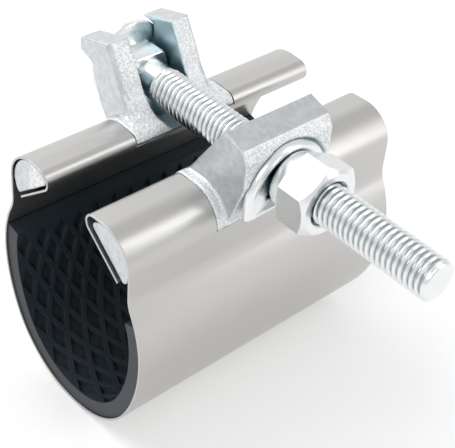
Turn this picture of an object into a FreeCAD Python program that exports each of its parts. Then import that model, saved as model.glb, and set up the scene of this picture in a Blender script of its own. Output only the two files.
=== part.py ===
import FreeCAD
import Part
import math
import os
import Sketcher
from FreeCAD import Vector

# Pipe repair clamp: a thin steel band with a rubber lining wraps the pipe. Both ends of the band are
# folded into hooks round the rails of two cast lugs. A bolt with a disc head sits between the tines of
# the fork lug, passes through the front lug, and its nut pulls the two lugs together.
#
# Frame: X runs across the pipe along the bolt, Y runs along the pipe, Z is up. The origin is on the
# axis of the pipe, midway along the band. The fork lug is on the -X side.

doc = FreeCAD.newDocument("pipe_repair_clamp")
sheet = doc.addObject("Spreadsheet::Sheet", "Sizes")

SIZES = [
    # Ring: the pipe's seat and the layers round it
    ("seat_radius", 20.0, "pipe that the lining seats on"),
    ("gasket_thickness", 3.9, "rubber lining"),
    ("bond_gap", 0.05, "lining to band"),
    ("band_thickness", 0.5, "sheet of the band"),
    ("band_length", 80.0, "along the pipe"),
    ("gasket_length", 79.0, "lining along the pipe"),
    ("side_spread", 2.0, "relaxed ring wider than the pipe, each side"),
    ("side_rise", 8.0, "widest level above the centre of the seat"),
    ("upper_side_radius", 30.0, "outer face of the ring above its widest level"),
    ("neck_radius", 8.0, "outward bend below the hook"),
    ("neck_inset", 4.4, "neck inside the widest level"),
    ("gasket_left_rise", 14.0, "end of the lining on the fork side, degrees"),
    ("gasket_right_rise", 21.0, "end of the lining on the nut side, degrees"),
    # Diamond pockets in the inner face of the lining
    ("pocket_row_pitch", 5.5, "from row to row round the pipe"),
    ("pocket_column_pitch", 5.4, "from pocket to pocket along the pipe"),
    ("pocket_land", 1.35, "rubber between neighbouring pockets"),
    ("pocket_depth", 1.1, "floor of a pocket below the inner face"),
    ("pocket_margin", 0.2, "least rubber from a pocket to an edge of the lining"),
    ("first_row", 3.3, "nearest row on the nut side, from the bottom of the ring"),
    ("first_column", 2.2, "nearest pockets to the near end of the lining"),
    # Rails of the lugs and the hooks that hold them
    ("rail_radius", 7.7, "round back of the rail"),
    ("rail_height", 7.3, "flat of the rail to its round back"),
    ("rail_tilt", 39.0, "flat of the rail against the horizontal, degrees"),
    ("rail_corner", 1.2, "rounded edge of the rail"),
    ("rail_rise", 24.25, "centre of the rail above the widest level"),
    ("rail_end_inset", 0.3, "end of the rail inside the end of the band"),
    ("wrap_clearance", 0.2, "hook round the rail"),
    ("lip_setback", 1.4, "end of the lip inside the edge of the rail"),
    ("window_clearance", 0.12, "root of a lug to the edges of its window"),
    ("window_sill", 0.3, "lower edge of the window above the rail centre"),
    ("window_edge", 0.1, "inner edge of the window above the flat of the rail"),
    ("bend_radius", 2.7, "bend of the hook round the inner edge of the rail"),
    ("hook_lean", 3.0, "straight top of the hook against the horizontal, degrees"),
    ("fork_hook_run", 3.4, "straight top of the hook on the fork side"),
    ("front_hook_run", 4.0, "straight top of the hook on the nut side"),
    # Bolt
    ("bolt_height", 11.75, "bolt axis above the rail centre"),
    ("bolt_radius", 4.9, "thread crest"),
    ("bolt_length", 99.1, "under the head to the tip"),
    ("tip_chamfer", 0.6, "end of the thread"),
    ("head_radius", 10.8, "disc head"),
    ("head_thickness", 2.2, "disc head"),
    ("head_rim", 0.5, "chamfer of the disc head"),
    ("neck_width", 12.4, "six-sided neck, between the tines"),
    ("neck_height", 10.6, "six-sided neck, between its top and bottom flats"),
    ("neck_flat", 8.4, "top and bottom flats of the neck"),
    ("neck_length", 7.1, "six-sided neck"),
    # Fork lug, sizes from the rail centre outwards and upwards
    ("tine_thickness", 6.0, "each tine"),
    ("fork_clearance", 0.2, "neck of the bolt to a tine"),
    ("slot_depth", 3.0, "sides of the slot end below the bolt axis"),
    ("slot_bow", 1.1, "radius of the round floor of the slot over half its width"),
    ("fork_seat", 15.45, "seat of the bolt head"),
    ("head_clearance", 0.4, "disc head to the pocket round it"),
    ("fork_height", 24.35, "top of the tines"),
    ("fork_crest", 8.65, "front edge of the top"),
    ("nose_reach", 19.65, "noses over the bolt head"),
    ("nose_height", 21.25, "top of a nose"),
    ("nose_underside", 17.95, "below a nose"),
    ("nose_lip", 1.6, "slope under a nose"),
    ("nose_root", 14.75, "back of a tine below its nose"),
    ("fork_waist", 11.95, "back of the fork at its waist"),
    ("waist_height", 7.25, "waist of the fork"),
    ("fork_knee", 4.15, "bend of the front face"),
    ("knee_height", 16.75, "bend of the front face"),
    ("fork_toe", -0.35, "foot of the front face"),
    ("toe_height", 7.75, "foot of the front face"),
    ("fork_foot", 8.6, "foot of the back on the root"),
    # Front lug, sizes from the rail centre outwards and upwards
    ("front_width", 26.0, "front lug along the pipe"),
    ("front_seat", 11.95, "seat of the washer"),
    ("seat_depth", 0.8, "seat below the outer face"),
    ("seat_clearance", 0.3, "washer to the rim of its seat"),
    ("front_height", 23.95, "crest of the front lug"),
    ("front_crest", 4.95, "inner edge of the crest"),
    ("shoulder_height", 22.15, "outer edge of the top"),
    ("front_bevel", 3.0, "bevel of the outer edge of the top"),
    ("front_chin", 13.15, "lower end of the outer face"),
    ("front_foot", 8.6, "foot of the outer face on the root"),
    ("front_foot_height", 0.8, "foot of the outer face on the root"),
    ("front_toe", -6.55, "foot of the inner slope"),
    ("front_toe_height", 6.75, "foot of the inner slope"),
    ("root_depth", 2.5, "lug body into the rail"),
    # Roots of both lugs, which fill the windows of the hooks
    ("root_proud", 0.3, "root above the outer face of the hook"),
    ("root_flare", 2.6, "root wider than the body of its lug, each side"),
    ("hole_clearance", 0.9, "bolt in the hole of the front lug"),
    # Washer and nut
    ("washer_radius", 11.4, "washer"),
    ("washer_thickness", 2.7, "washer"),
    ("washer_hole_clearance", 0.4, "bolt in the washer"),
    ("washer_drop", 8.0, "straight lower edge of the washer below the bolt axis"),
    ("collar_radius", 7.2, "round collar of the nut"),
    ("collar_length", 2.7, "round collar of the nut"),
    ("nut_flats", 17.0, "nut across flats"),
    ("nut_height", 8.4, "hexagon of the nut"),
    ("nut_turn", 7.0, "one corner past the top, degrees"),
    ("nut_chamfer", 0.9, "corners of the nut"),
    ("nut_running_clearance", 0.05, "thread of the nut on the bolt"),
]

for row, (alias, value, note) in enumerate(SIZES, start=1):
    sheet.set("A%d" % row, alias)
    sheet.set("B%d" % row, str(value))
    sheet.setAlias("B%d" % row, alias)
    sheet.set("C%d" % row, note)
doc.recompute()


def size(alias):
    """Value of one named size."""
    return float(sheet.get(alias))


# Places that several pieces share, written as formulas of the named sizes

RAIL_X = (
    "(Sizes.seat_radius + Sizes.gasket_thickness + Sizes.bond_gap + Sizes.side_spread"
    " - Sizes.neck_inset - Sizes.wrap_clearance - Sizes.rail_radius)"
)
RAIL_Z = "(Sizes.side_rise + Sizes.rail_rise)"
BOLT_Z = "(%s + Sizes.bolt_height)" % RAIL_Z
FORK_GAP = "(Sizes.neck_width + 2 * Sizes.fork_clearance)"
FLAT = "(Sizes.rail_radius - Sizes.rail_height)"
HOOK_RADIUS = "(Sizes.rail_radius + Sizes.wrap_clearance + Sizes.band_thickness)"


def out(alias):
    """Formula of a distance outwards from the rail centre."""
    return "(%s + Sizes.%s)" % (RAIL_X, alias)


def up(alias):
    """Formula of a height above the rail centre."""
    return "(%s + Sizes.%s)" % (RAIL_Z, alias)


def evaluate(formula):
    return float(sheet.evalExpression(formula))


# Sketches and features of the cast and turned pieces


def new_body(label):
    body = doc.addObject("PartDesign::Body", label)
    body.Label = label
    return body


def new_sketch(body, role, name, offset=None):
    """Sketch on one of the body's own origin planes, moved along its normal by a formula."""
    sketch = body.newObject("Sketcher::SketchObject", name)
    plane = [feature for feature in body.Origin.OriginFeatures if feature.Role == role][0]
    sketch.AttachmentSupport = [(plane, "")]
    sketch.MapMode = "FlatFace"
    if offset:
        sketch.setExpression(".AttachmentOffset.Base.z", offset)
    return sketch


def bind(sketch, constraint, name, formula):
    """Adds one dimension and ties it to its formula."""
    index = sketch.addConstraint(constraint)
    sketch.renameConstraint(index, name)
    sketch.setExpression("Constraints." + name, formula)


def bowed(start, end, radius):
    """Arc between two places; its centre lies on the left of the way for a positive radius."""
    half = (end - start) / 2
    side = Vector(-half.y, half.x, 0).normalize()
    depth = math.sqrt(radius**2 - half.Length**2)
    sign = 1 if radius > 0 else -1
    centre = start + half + side * (depth * sign)
    middle = centre - side * (abs(radius) * sign)
    return Part.Arc(start, middle, end)


def outline(sketch, corners, bows=None):
    """Closed outline whose corners sit at pairs of formulas. Side n is straight, or bowed to a radius."""
    bows = bows or {}
    places = [Vector(evaluate(across), evaluate(along), 0) for across, along in corners]
    count = len(places)
    starts = []
    for index in range(count):
        start, end = places[index], places[(index + 1) % count]
        if index in bows:
            sketch.addGeometry(bowed(start, end, evaluate(bows[index])))
        else:
            sketch.addGeometry(Part.LineSegment(start, end))
        at_start = (sketch.getPoint(index, 1) - start).Length < (sketch.getPoint(index, 2) - start).Length
        starts.append(1 if at_start else 2)
    for index in range(count):
        following = (index + 1) % count
        sketch.addConstraint(
            Sketcher.Constraint("Coincident", index, 3 - starts[index], following, starts[following]))
    for index, (across, along) in enumerate(corners):
        place = places[index]
        distance_x = Sketcher.Constraint("DistanceX", -1, 1, index, starts[index], place.x)
        distance_y = Sketcher.Constraint("DistanceY", -1, 1, index, starts[index], place.y)
        bind(sketch, distance_x, "across%d" % index, across)
        bind(sketch, distance_y, "along%d" % index, along)
    for index, radius in bows.items():
        value = abs(evaluate(radius))
        bind(sketch, Sketcher.Constraint("Radius", index, value), "bow%d" % index, "abs(%s)" % radius)


def circle(sketch, radius, along="0"):
    """Circle on the sketch's vertical axis."""
    centre = Vector(0, evaluate(along), 0)
    index = sketch.addGeometry(Part.Circle(centre, Vector(0, 0, 1), evaluate(radius)))
    bind(sketch, Sketcher.Constraint("Radius", index, evaluate(radius)), "radius", radius)
    bind(sketch, Sketcher.Constraint("DistanceX", -1, 1, index, 3, 0.0), "across", "0")
    bind(sketch, Sketcher.Constraint("DistanceY", -1, 1, index, 3, centre.y), "along", along)


def hexagon(sketch, flats, turn="0"):
    """Regular hexagon round the origin; turn moves a corner away from the vertical axis."""
    corners = []
    for index in range(6):
        angle = "(%d deg + %s * 1 deg)" % (90 + 60 * index, turn)
        across = "%s / sqrt(3) * cos(%s)" % (flats, angle)
        along = "%s / sqrt(3) * sin(%s)" % (flats, angle)
        corners.append((across, along))
    outline(sketch, corners)


def pad(body, sketch, length, symmetric=False, reverse=False):
    feature = body.newObject("PartDesign::Pad", sketch.Name + "_pad")
    feature.Profile = sketch
    feature.setExpression("Length", length)
    if symmetric:
        feature.SideType = "Symmetric"
    feature.Reversed = reverse
    return feature


def pocket(body, sketch, length=None, symmetric=False, reverse=False):
    """Cut to a depth, or right through when no depth is given."""
    doc.recompute()
    before = body.Shape.Volume
    feature = body.newObject("PartDesign::Pocket", sketch.Name + "_pocket")
    feature.Profile = sketch
    if length:
        feature.setExpression("Length", length)
    else:
        feature.Type = "ThroughAll"
    if symmetric:
        feature.SideType = "Symmetric"
    feature.Reversed = reverse
    doc.recompute()
    if body.Shape.Volume > before - 1e-3:
        raise RuntimeError(sketch.Name + " removes nothing")
    return feature


def revolve(body, sketch, kind="PartDesign::Revolution"):
    """Full turn about the sketch's horizontal axis."""
    feature = body.newObject(kind, sketch.Name + "_turned")
    feature.Profile = sketch
    feature.ReferenceAxis = (sketch, ["H_Axis"])
    feature.Angle = 360
    return feature


def rail_section(sketch, side):
    """D outline of a rail: a round back, a tilted flat and two rounded edges."""
    radius = size("rail_radius")
    corner = size("rail_corner")
    tilt = math.radians(size("rail_tilt"))
    normal = Vector(side * math.sin(tilt), math.cos(tilt), 0)
    along = Vector(-side * math.cos(tilt), math.sin(tilt), 0)
    centre = Vector(side * evaluate(RAIL_X), evaluate(RAIL_Z), 0)
    level = radius - size("rail_height") + corner
    reach = math.sqrt((radius - corner) ** 2 - level**2)
    edges = []
    for direction in (1, -1):
        middle = centre + normal * level + along * (direction * reach)
        touch = centre + (middle - centre).normalize() * radius
        foot = middle - normal * corner
        between = middle + (touch + foot - middle * 2).normalize() * corner
        edges.append((touch, between, foot))
    upper, lower = edges
    sketch.addGeometry(Part.Arc(lower[0], centre + normal * radius, upper[0]))
    sketch.addGeometry(Part.Arc(upper[0], upper[1], upper[2]))
    sketch.addGeometry(Part.LineSegment(upper[2], lower[2]))
    sketch.addGeometry(Part.Arc(lower[2], lower[1], lower[0]))
    for index in range(4):
        following = (index + 1) % 4
        first = min((1, 2), key=lambda end: min(
            (sketch.getPoint(index, end) - sketch.getPoint(following, other)).Length for other in (1, 2)))
        second = min((1, 2), key=lambda end: (
            sketch.getPoint(index, first) - sketch.getPoint(following, end)).Length)
        sketch.addConstraint(Sketcher.Constraint("Tangent", index, first, following, second))
    across = "%s * %d" % (RAIL_X, side)
    bind(sketch, Sketcher.Constraint("DistanceX", -1, 1, 0, 3, centre.x), "centre_x", across)
    bind(sketch, Sketcher.Constraint("DistanceY", -1, 1, 0, 3, centre.y), "centre_z", RAIL_Z)
    bind(sketch, Sketcher.Constraint("Radius", 0, radius), "back", "Sizes.rail_radius")
    bind(sketch, Sketcher.Constraint("Radius", 1, corner), "upper_edge", "Sizes.rail_corner")
    bind(sketch, Sketcher.Constraint("Radius", 3, corner), "lower_edge", "Sizes.rail_corner")
    bind(sketch, Sketcher.Constraint("Distance", 0, 3, 2, evaluate(FLAT)), "flat", FLAT)
    slope = Sketcher.Constraint("Angle", 2, math.atan2(lower[2].y - upper[2].y, lower[2].x - upper[2].x))
    bind(sketch, slope, "tilt", "(%s) * 1 deg" % ("-Sizes.rail_tilt" if side > 0 else "Sizes.rail_tilt - 180"))
    return sketch


def rail(body, side):
    section = rail_section(new_sketch(body, "XZ_Plane", body.Label + "_rail"), side)
    return pad(body, section, "Sizes.band_length - 2 * Sizes.rail_end_inset", symmetric=True)


def profile(body, side, corners, width, name):
    """Side profile of a casting, given outwards and upwards, padded evenly to both sides."""
    sketch = new_sketch(body, "XZ_Plane", name)
    outline(sketch, [("%s * %d" % (across, side), height) for across, height in corners])
    return pad(body, sketch, width, symmetric=True)


def on_flat(level, run):
    """Formulas of a place from the rail centre: level square to the flat, run along it inwards."""
    tilt = "(Sizes.rail_tilt * 1 deg)"
    across = "(%s + (%s) * sin(%s) - (%s) * cos(%s))" % (RAIL_X, level, tilt, run, tilt)
    height = "(%s + (%s) * cos(%s) + (%s) * sin(%s))" % (RAIL_Z, level, tilt, run, tilt)
    return across, height


def root(body, side, run_alias, width):
    """Root of a lug: it fills the window of the hook and stands a little proud of the hook."""
    proud_radius = "(%s + Sizes.root_proud)" % HOOK_RADIUS
    proud_bend = "(Sizes.bend_radius + Sizes.root_proud)"
    foot_rise = "(Sizes.window_sill + Sizes.window_clearance)"
    foot = "(%s + %s)" % (RAIL_Z, foot_rise)
    turn = "((Sizes.hook_lean + Sizes.rail_tilt) * 1 deg)"
    run = "Sizes." + run_alias
    edge_level = "(%s + Sizes.window_edge + Sizes.window_clearance)" % FLAT
    to_bend = "(%s - Sizes.bend_radius)" % HOOK_RADIUS
    bend_level = "(%s * cos(%s) - %s * sin(%s))" % (to_bend, turn, run, turn)
    bend_run = "(%s * sin(%s) + %s * cos(%s))" % (to_bend, turn, run, turn)
    edge_run = "(%s + sqrt(%s^2 - (%s - %s)^2))" % (bend_run, proud_bend, edge_level, bend_level)
    top_level = "(%s * cos(%s))" % (proud_radius, turn)
    top_run = "(%s * sin(%s))" % (proud_radius, turn)
    corners = [
        ("(%s + sqrt(%s^2 - %s^2))" % (RAIL_X, proud_radius, foot_rise), foot),
        on_flat(top_level, top_run),
        on_flat("%s - %s * sin(%s)" % (top_level, run, turn), "%s + %s * cos(%s)" % (top_run, run, turn)),
        on_flat(edge_level, edge_run),
        on_flat(edge_level, "Sizes.rail_corner"),
        (out("root_depth"), foot),
    ]
    sketch = new_sketch(body, "XZ_Plane", body.Label + "_root")
    bows = {0: "%s * %d" % (proud_radius, side), 2: "%s * %d" % (proud_bend, side)}
    outline(sketch, [("%s * %d" % (across, side), height) for across, height in corners], bows)
    return pad(body, sketch, width, symmetric=True)


# Fork lug: rail, root, two tines with noses over the bolt head, a slot and a pocket for the head

fork_lug = new_body("fork_lug")
fork_width = "(%s + 2 * Sizes.tine_thickness)" % FORK_GAP
fork_root = "(%s + 2 * Sizes.root_flare)" % fork_width
rail(fork_lug, -1)
root(fork_lug, -1, "fork_hook_run", fork_root)
fork_corners = [
    (out("nose_reach"), up("nose_height")),
    (out("fork_crest"), up("fork_height")),
    (out("fork_knee"), up("knee_height")),
    (out("fork_toe"), up("toe_height")),
    (out("fork_toe"), up("root_depth")),
    (out("root_depth"), up("root_depth")),
    (out("fork_foot"), up("root_depth")),
    (out("fork_waist"), up("waist_height")),
    (out("nose_root"), up("nose_underside") + " - 2 * Sizes.nose_lip"),
    (out("nose_root"), up("nose_underside") + " - Sizes.nose_lip"),
    (out("nose_reach"), up("nose_underside")),
]
profile(fork_lug, -1, fork_corners, fork_width, "fork_side")

slot = new_sketch(fork_lug, "YZ_Plane", "fork_slot")
floor_centre = "(%s - Sizes.slot_depth)" % BOLT_Z
top = up("fork_height") + " + Sizes.tine_thickness"
half = FORK_GAP + " / 2"
outline(slot, [(half, floor_centre), (half, top), ("-" + half, top), ("-" + half, floor_centre)],
        {3: half + " * Sizes.slot_bow"})
pocket(fork_lug, slot, symmetric=True)
head_pocket = new_sketch(fork_lug, "YZ_Plane", "head_pocket", "-" + out("fork_seat"))
circle(head_pocket, "Sizes.head_radius + Sizes.head_clearance", BOLT_Z)
pocket(fork_lug, head_pocket, reverse=False)

# Front lug: rail, root, wedge-shaped body, a round seat for the washer and the hole of the bolt

front_lug = new_body("front_lug")
front_root = "(Sizes.front_width + 2 * Sizes.root_flare)"
rail(front_lug, 1)
root(front_lug, 1, "front_hook_run", front_root)
front_corners = [
    (out("front_toe"), up("front_toe_height")),
    (out("front_crest"), up("front_height")),
    (out("front_seat") + " - Sizes.seat_depth", up("shoulder_height")),
    (out("front_seat") + " + Sizes.seat_depth", up("shoulder_height") + " - Sizes.front_bevel"),
    (out("front_seat") + " + Sizes.seat_depth", up("front_chin")),
    (out("front_foot"), up("front_foot_height")),
    (out("root_depth"), up("front_foot_height")),
]
profile(front_lug, 1, front_corners, "Sizes.front_width", "front_side")
seat = new_sketch(front_lug, "YZ_Plane", "washer_seat", out("front_seat"))
circle(seat, "Sizes.washer_radius + Sizes.seat_clearance", BOLT_Z)
pocket(front_lug, seat, reverse=True)
hole = new_sketch(front_lug, "YZ_Plane", "bolt_hole")
circle(hole, "Sizes.bolt_radius + Sizes.hole_clearance", BOLT_Z)
pocket(front_lug, hole, symmetric=True)

# Bolt: disc head with a chamfered rim, six-sided neck, shank and thread turned about the X axis

bolt = new_body("bolt")
turned = new_sketch(bolt, "XZ_Plane", "bolt_turned")
outline(turned, [
    ("-Sizes.head_thickness", "0"),
    ("-Sizes.head_thickness", "Sizes.head_radius - Sizes.head_rim"),
    ("-Sizes.head_thickness + Sizes.head_rim", "Sizes.head_radius"),
    ("0", "Sizes.head_radius"),
    ("0", "Sizes.bolt_radius"),
    ("Sizes.bolt_length - Sizes.tip_chamfer", "Sizes.bolt_radius"),
    ("Sizes.bolt_length", "Sizes.bolt_radius - Sizes.tip_chamfer"),
    ("Sizes.bolt_length", "0"),
])
revolve(bolt, turned)
neck = new_sketch(bolt, "YZ_Plane", "bolt_neck")
outline(neck, [
    ("Sizes.neck_width / 2", "0"),
    ("Sizes.neck_flat / 2", "Sizes.neck_height / 2"),
    ("-Sizes.neck_flat / 2", "Sizes.neck_height / 2"),
    ("-Sizes.neck_width / 2", "0"),
    ("-Sizes.neck_flat / 2", "-Sizes.neck_height / 2"),
    ("Sizes.neck_flat / 2", "-Sizes.neck_height / 2"),
])
pad(bolt, neck, "Sizes.neck_length")
bolt.setExpression(".Placement.Base.x", "-" + out("fork_seat"))
bolt.setExpression(".Placement.Base.z", BOLT_Z)

# Washer: a thick saddle, round above the bolt and cut straight below it

washer = new_body("washer")
ring = new_sketch(washer, "XZ_Plane", "washer_turned")
inner = "Sizes.bolt_radius + Sizes.washer_hole_clearance"
outline(ring, [
    ("0", inner),
    ("0", "Sizes.washer_radius"),
    ("Sizes.washer_thickness", "Sizes.washer_radius"),
    ("Sizes.washer_thickness", inner),
])
revolve(washer, ring)
lower_edge = new_sketch(washer, "YZ_Plane", "washer_lower_edge")
below = "-2 * Sizes.washer_radius"
outline(lower_edge, [
    ("Sizes.washer_radius", "-Sizes.washer_drop"),
    ("-Sizes.washer_radius", "-Sizes.washer_drop"),
    ("-Sizes.washer_radius", below),
    ("Sizes.washer_radius", below),
])
pocket(washer, lower_edge, symmetric=True)
washer.setExpression(".Placement.Base.x", out("front_seat"))
washer.setExpression(".Placement.Base.z", BOLT_Z)

# Nut: hexagon with chamfered corners on a round collar that stands on the washer

nut = new_body("nut")
collar = new_sketch(nut, "YZ_Plane", "nut_collar")
circle(collar, "Sizes.collar_radius")
pad(nut, collar, "Sizes.collar_length")
flats = new_sketch(nut, "YZ_Plane", "nut_hexagon", "Sizes.collar_length")
hexagon(flats, "Sizes.nut_flats", "Sizes.nut_turn")
pad(nut, flats, "Sizes.nut_height")
corner_radius = "Sizes.nut_flats / sqrt(3)"
nut_end = "(Sizes.collar_length + Sizes.nut_height)"
doc.recompute()
corners = new_sketch(nut, "XZ_Plane", "nut_corners")
outline(corners, [
    (nut_end, corner_radius + " - Sizes.nut_chamfer"),
    (nut_end, corner_radius + " + Sizes.nut_chamfer"),
    (nut_end + " - Sizes.nut_chamfer", corner_radius + " + Sizes.nut_chamfer"),
    (nut_end + " - Sizes.nut_chamfer / 2", corner_radius),
])
revolve(nut, corners, "PartDesign::Groove")
doc.recompute()
bore = new_sketch(nut, "YZ_Plane", "nut_bore")
circle(bore, "Sizes.bolt_radius + Sizes.nut_running_clearance")
pocket(nut, bore, reverse=True)
nut_place = out("front_seat") + " + Sizes.washer_thickness"
nut.setExpression(".Placement.Base.x", nut_place)
nut.setExpression(".Placement.Base.z", BOLT_Z)
doc.recompute()

# Band and lining: both follow one chain of tangent arcs. Its lower arc is the pipe's seat, larger arcs
# rise to the widest level, and above it each side leans in to a neck and a hook round the rail.


class Arc:
    """Part of the chain that runs anticlockwise (turn 1) or clockwise (turn -1) about its centre."""

    def __init__(self, centre, radius, start, end):
        self.centre = centre
        self.radius = radius
        self.start = start
        self.end = end

    def moved(self, outwards):
        """The same arc on a layer further out, as an edge."""
        turn = 1 if self.end > self.start else -1
        radius = self.radius + turn * outwards
        middle = (self.start + self.end) / 2
        ends = [self.centre + polar(radius, angle) for angle in (self.start, middle, self.end)]
        return Part.Arc(*ends).toShape()


class Line:
    """Straight part of the chain, with the outside on its right."""

    def __init__(self, start, end):
        self.start = start
        self.end = end

    def moved(self, outwards):
        run = (self.end - self.start).normalize()
        shift = Vector(run.z, 0, -run.x) * outwards
        return Part.LineSegment(self.start + shift, self.end + shift).toShape()


def polar(radius, angle):
    return Vector(radius * math.cos(angle), 0, radius * math.sin(angle))


def layer(chain, outer, inner):
    """Face between two offsets of the chain."""
    outside = [piece.moved(outer) for piece in chain]
    inside = [piece.moved(inner) for piece in chain]
    ends = []
    for index in (0, -1):
        first = nearest_end(outside, index)
        second = nearest_end(inside, index)
        ends.append(Part.LineSegment(first, second).toShape())
    edges = Part.__sortEdges__(outside + inside + ends)
    return Part.Face(Part.Wire(edges))


def nearest_end(edges, index):
    """Free end of an open row of edges."""
    edge = edges[index]
    if index == 0:
        return edge.valueAt(edge.FirstParameter)
    return edge.valueAt(edge.LastParameter)


rail_centre = Vector(evaluate(RAIL_X), 0, evaluate(RAIL_Z))
stack = size("gasket_thickness") + size("bond_gap") + size("band_thickness")
outer_radius = size("seat_radius") + stack
seat_angle = math.pi / 2 - 2 * math.atan(size("side_spread") / size("side_rise"))
half_width = outer_radius + size("side_spread")
lower_radius = outer_radius + size("side_rise") / math.cos(seat_angle)
upper_radius = size("upper_side_radius")
neck_sum = upper_radius + size("neck_radius")
lean = math.acos(1 - size("neck_inset") / neck_sum)
hook_radius = size("rail_radius") + size("wrap_clearance") + size("band_thickness")
tilt = math.radians(size("rail_tilt"))
rail_normal = Vector(math.sin(tilt), 0, math.cos(tilt))
rail_along = Vector(-math.cos(tilt), 0, math.sin(tilt))
flat_level = size("rail_radius") - size("rail_height")
flat_angle = math.atan2(rail_normal.z, rail_normal.x) + math.pi
flat_half = math.sqrt(size("rail_radius") ** 2 - flat_level**2)
hook_top = math.radians(90 + size("hook_lean"))

# Right half of the chain on the outer face of the band, from the bottom up to the lip of the hook

seat_centre = Vector(0, 0, 0)
lower_centre = Vector(half_width - lower_radius, 0, size("side_rise"))
upper_centre = Vector(half_width - upper_radius, 0, size("side_rise"))
neck_centre = upper_centre + polar(neck_sum, lean)
neck_top = neck_centre - Vector(size("neck_radius"), 0, 0)
hook_start = rail_centre + Vector(hook_radius, 0, 0)
seat_arc = Arc(seat_centre, outer_radius, -math.pi / 2, seat_angle - math.pi / 2)
lower_arc = Arc(lower_centre, lower_radius, seat_angle - math.pi / 2, 0)


def side_arc(rise):
    return Arc(upper_centre, upper_radius, 0, rise)


def band_half(run_alias):
    """Bottom of the ring up and round the rail to the lip of the hook."""
    bend_radius = size("bend_radius")
    top_end = rail_centre + polar(hook_radius, hook_top)
    bend_start = top_end + polar(size(run_alias), hook_top + math.pi / 2)
    bend_centre = bend_start - polar(bend_radius, hook_top)
    lip_start = bend_centre + polar(bend_radius, flat_angle)
    lip_length = (lip_start - rail_centre).dot(rail_along) + flat_half - size("lip_setback")
    return [
        seat_arc,
        lower_arc,
        side_arc(lean),
        Arc(neck_centre, size("neck_radius"), lean + math.pi, math.pi),
        Line(neck_top, hook_start),
        Arc(rail_centre, hook_radius, 0, hook_top),
        Line(top_end, bend_start),
        Arc(bend_centre, bend_radius, hook_top, flat_angle),
        Line(lip_start, lip_start - rail_along * lip_length),
    ]


def gasket_half(rise_alias):
    return [seat_arc, lower_arc, side_arc(math.radians(size(rise_alias)))]


def extruded(face, length):
    """Solid centred along the pipe."""
    solid = face.extrude(Vector(0, length, 0))
    solid.translate(Vector(0, -length / 2, 0))
    return solid


def mirrored(shape):
    return shape.mirror(Vector(0, 0, 0), Vector(1, 0, 0))


def window(width):
    """Space cut from the right hook round the root of a lug: above the sill and above the flat."""
    sill = rail_centre.z + size("window_sill")
    above_flat = flat_level + size("window_edge")
    clear = 2 * hook_radius
    on_edge = rail_centre + rail_normal * above_flat
    corners = [
        Vector(hook_start.x + clear, 0, sill),
        on_edge - rail_along * ((on_edge.z - sill) / rail_along.z),
        on_edge + rail_along * clear,
        rail_centre + (rail_normal + rail_along) * clear,
        Vector(hook_start.x + clear, 0, rail_centre.z + clear),
    ]
    return extruded(Part.Face(Part.makePolygon(corners + corners[:1])), width)


thickness = size("band_thickness")
right_half = extruded(layer(band_half("front_hook_run"), 0, -thickness), size("band_length"))
left_half = extruded(layer(band_half("fork_hook_run"), 0, -thickness), size("band_length"))
play = 2 * size("window_clearance")
right_half = right_half.cut(window(evaluate(front_root) + play))
left_half = mirrored(left_half.cut(window(evaluate(fork_root) + play)))

band = doc.addObject("Part::Feature", "band")
band.Label = "band"
band.Shape = right_half.fuse(left_half).removeSplitter()
band.Placement = FreeCAD.Placement()


def seated_point(chain, run):
    """Point of the inner face and its outward direction, at a length along it from the bottom."""
    for arc in chain:
        radius = arc.radius - stack
        reach = radius * abs(arc.end - arc.start)
        if run <= reach:
            angle = arc.start + run / radius
            return arc.centre + polar(radius, angle), polar(1, angle)
        run -= reach
    return None


def inner_length(chain):
    return sum((arc.radius - stack) * abs(arc.end - arc.start) for arc in chain)


def pocket_tool(place, outward, half_long, half_wide):
    """Diamond prism that sinks one pocket square to the inner face."""
    around = Vector(-outward.z, 0, outward.x)
    back = place - outward * size("pocket_depth")
    corners = [
        back + around * half_long,
        back + Vector(0, half_wide, 0),
        back - around * half_long,
        back - Vector(0, half_wide, 0),
    ]
    face = Part.Face(Part.makePolygon(corners + corners[:1]))
    return face.extrude(outward * (2 * size("pocket_depth")))


def pockets():
    """Staggered rows of diamond pockets. They are counted from one end, as in a lining cut from a roll."""
    row_pitch = size("pocket_row_pitch")
    column_pitch = size("pocket_column_pitch")
    land_share = size("pocket_land") * math.hypot(row_pitch, column_pitch / 2) / (row_pitch * column_pitch)
    half_long = row_pitch * (1 - land_share)
    half_wide = column_pitch / 2 * (1 - land_share)
    right, left = gasket_half("gasket_right_rise"), gasket_half("gasket_left_rise")
    lowest = -inner_length(left) + half_long + size("pocket_margin")
    highest = inner_length(right) - half_long - size("pocket_margin")
    widest = size("gasket_length") - half_wide - size("pocket_margin")
    tools = []
    row = math.ceil((lowest - size("first_row")) / row_pitch)
    while size("first_row") + row * row_pitch <= highest:
        run = size("first_row") + row * row_pitch
        place, outward = seated_point(right if run > 0 else left, abs(run))
        if run < 0:
            place.x, outward.x = -place.x, -outward.x
        column = size("first_column") + (row % 2) * column_pitch / 2
        while column <= widest:
            along_pipe = Vector(0, column - size("gasket_length") / 2, 0)
            tools.append(pocket_tool(place + along_pipe, outward, half_long, half_wide))
            column += column_pitch
        row += 1
    return tools


glue = size("band_thickness") + size("bond_gap")
right_lining = extruded(layer(gasket_half("gasket_right_rise"), -glue, -stack), size("gasket_length"))
left_lining = mirrored(extruded(layer(gasket_half("gasket_left_rise"), -glue, -stack), size("gasket_length")))
lining = right_lining.fuse(left_lining).removeSplitter()
waffle = pockets()

gasket = doc.addObject("Part::Feature", "gasket")
gasket.Label = "gasket"
gasket.Shape = lining.cut(waffle)
gasket.Placement = FreeCAD.Placement()
doc.recompute()

# Every object is sound before anything is written

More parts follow.
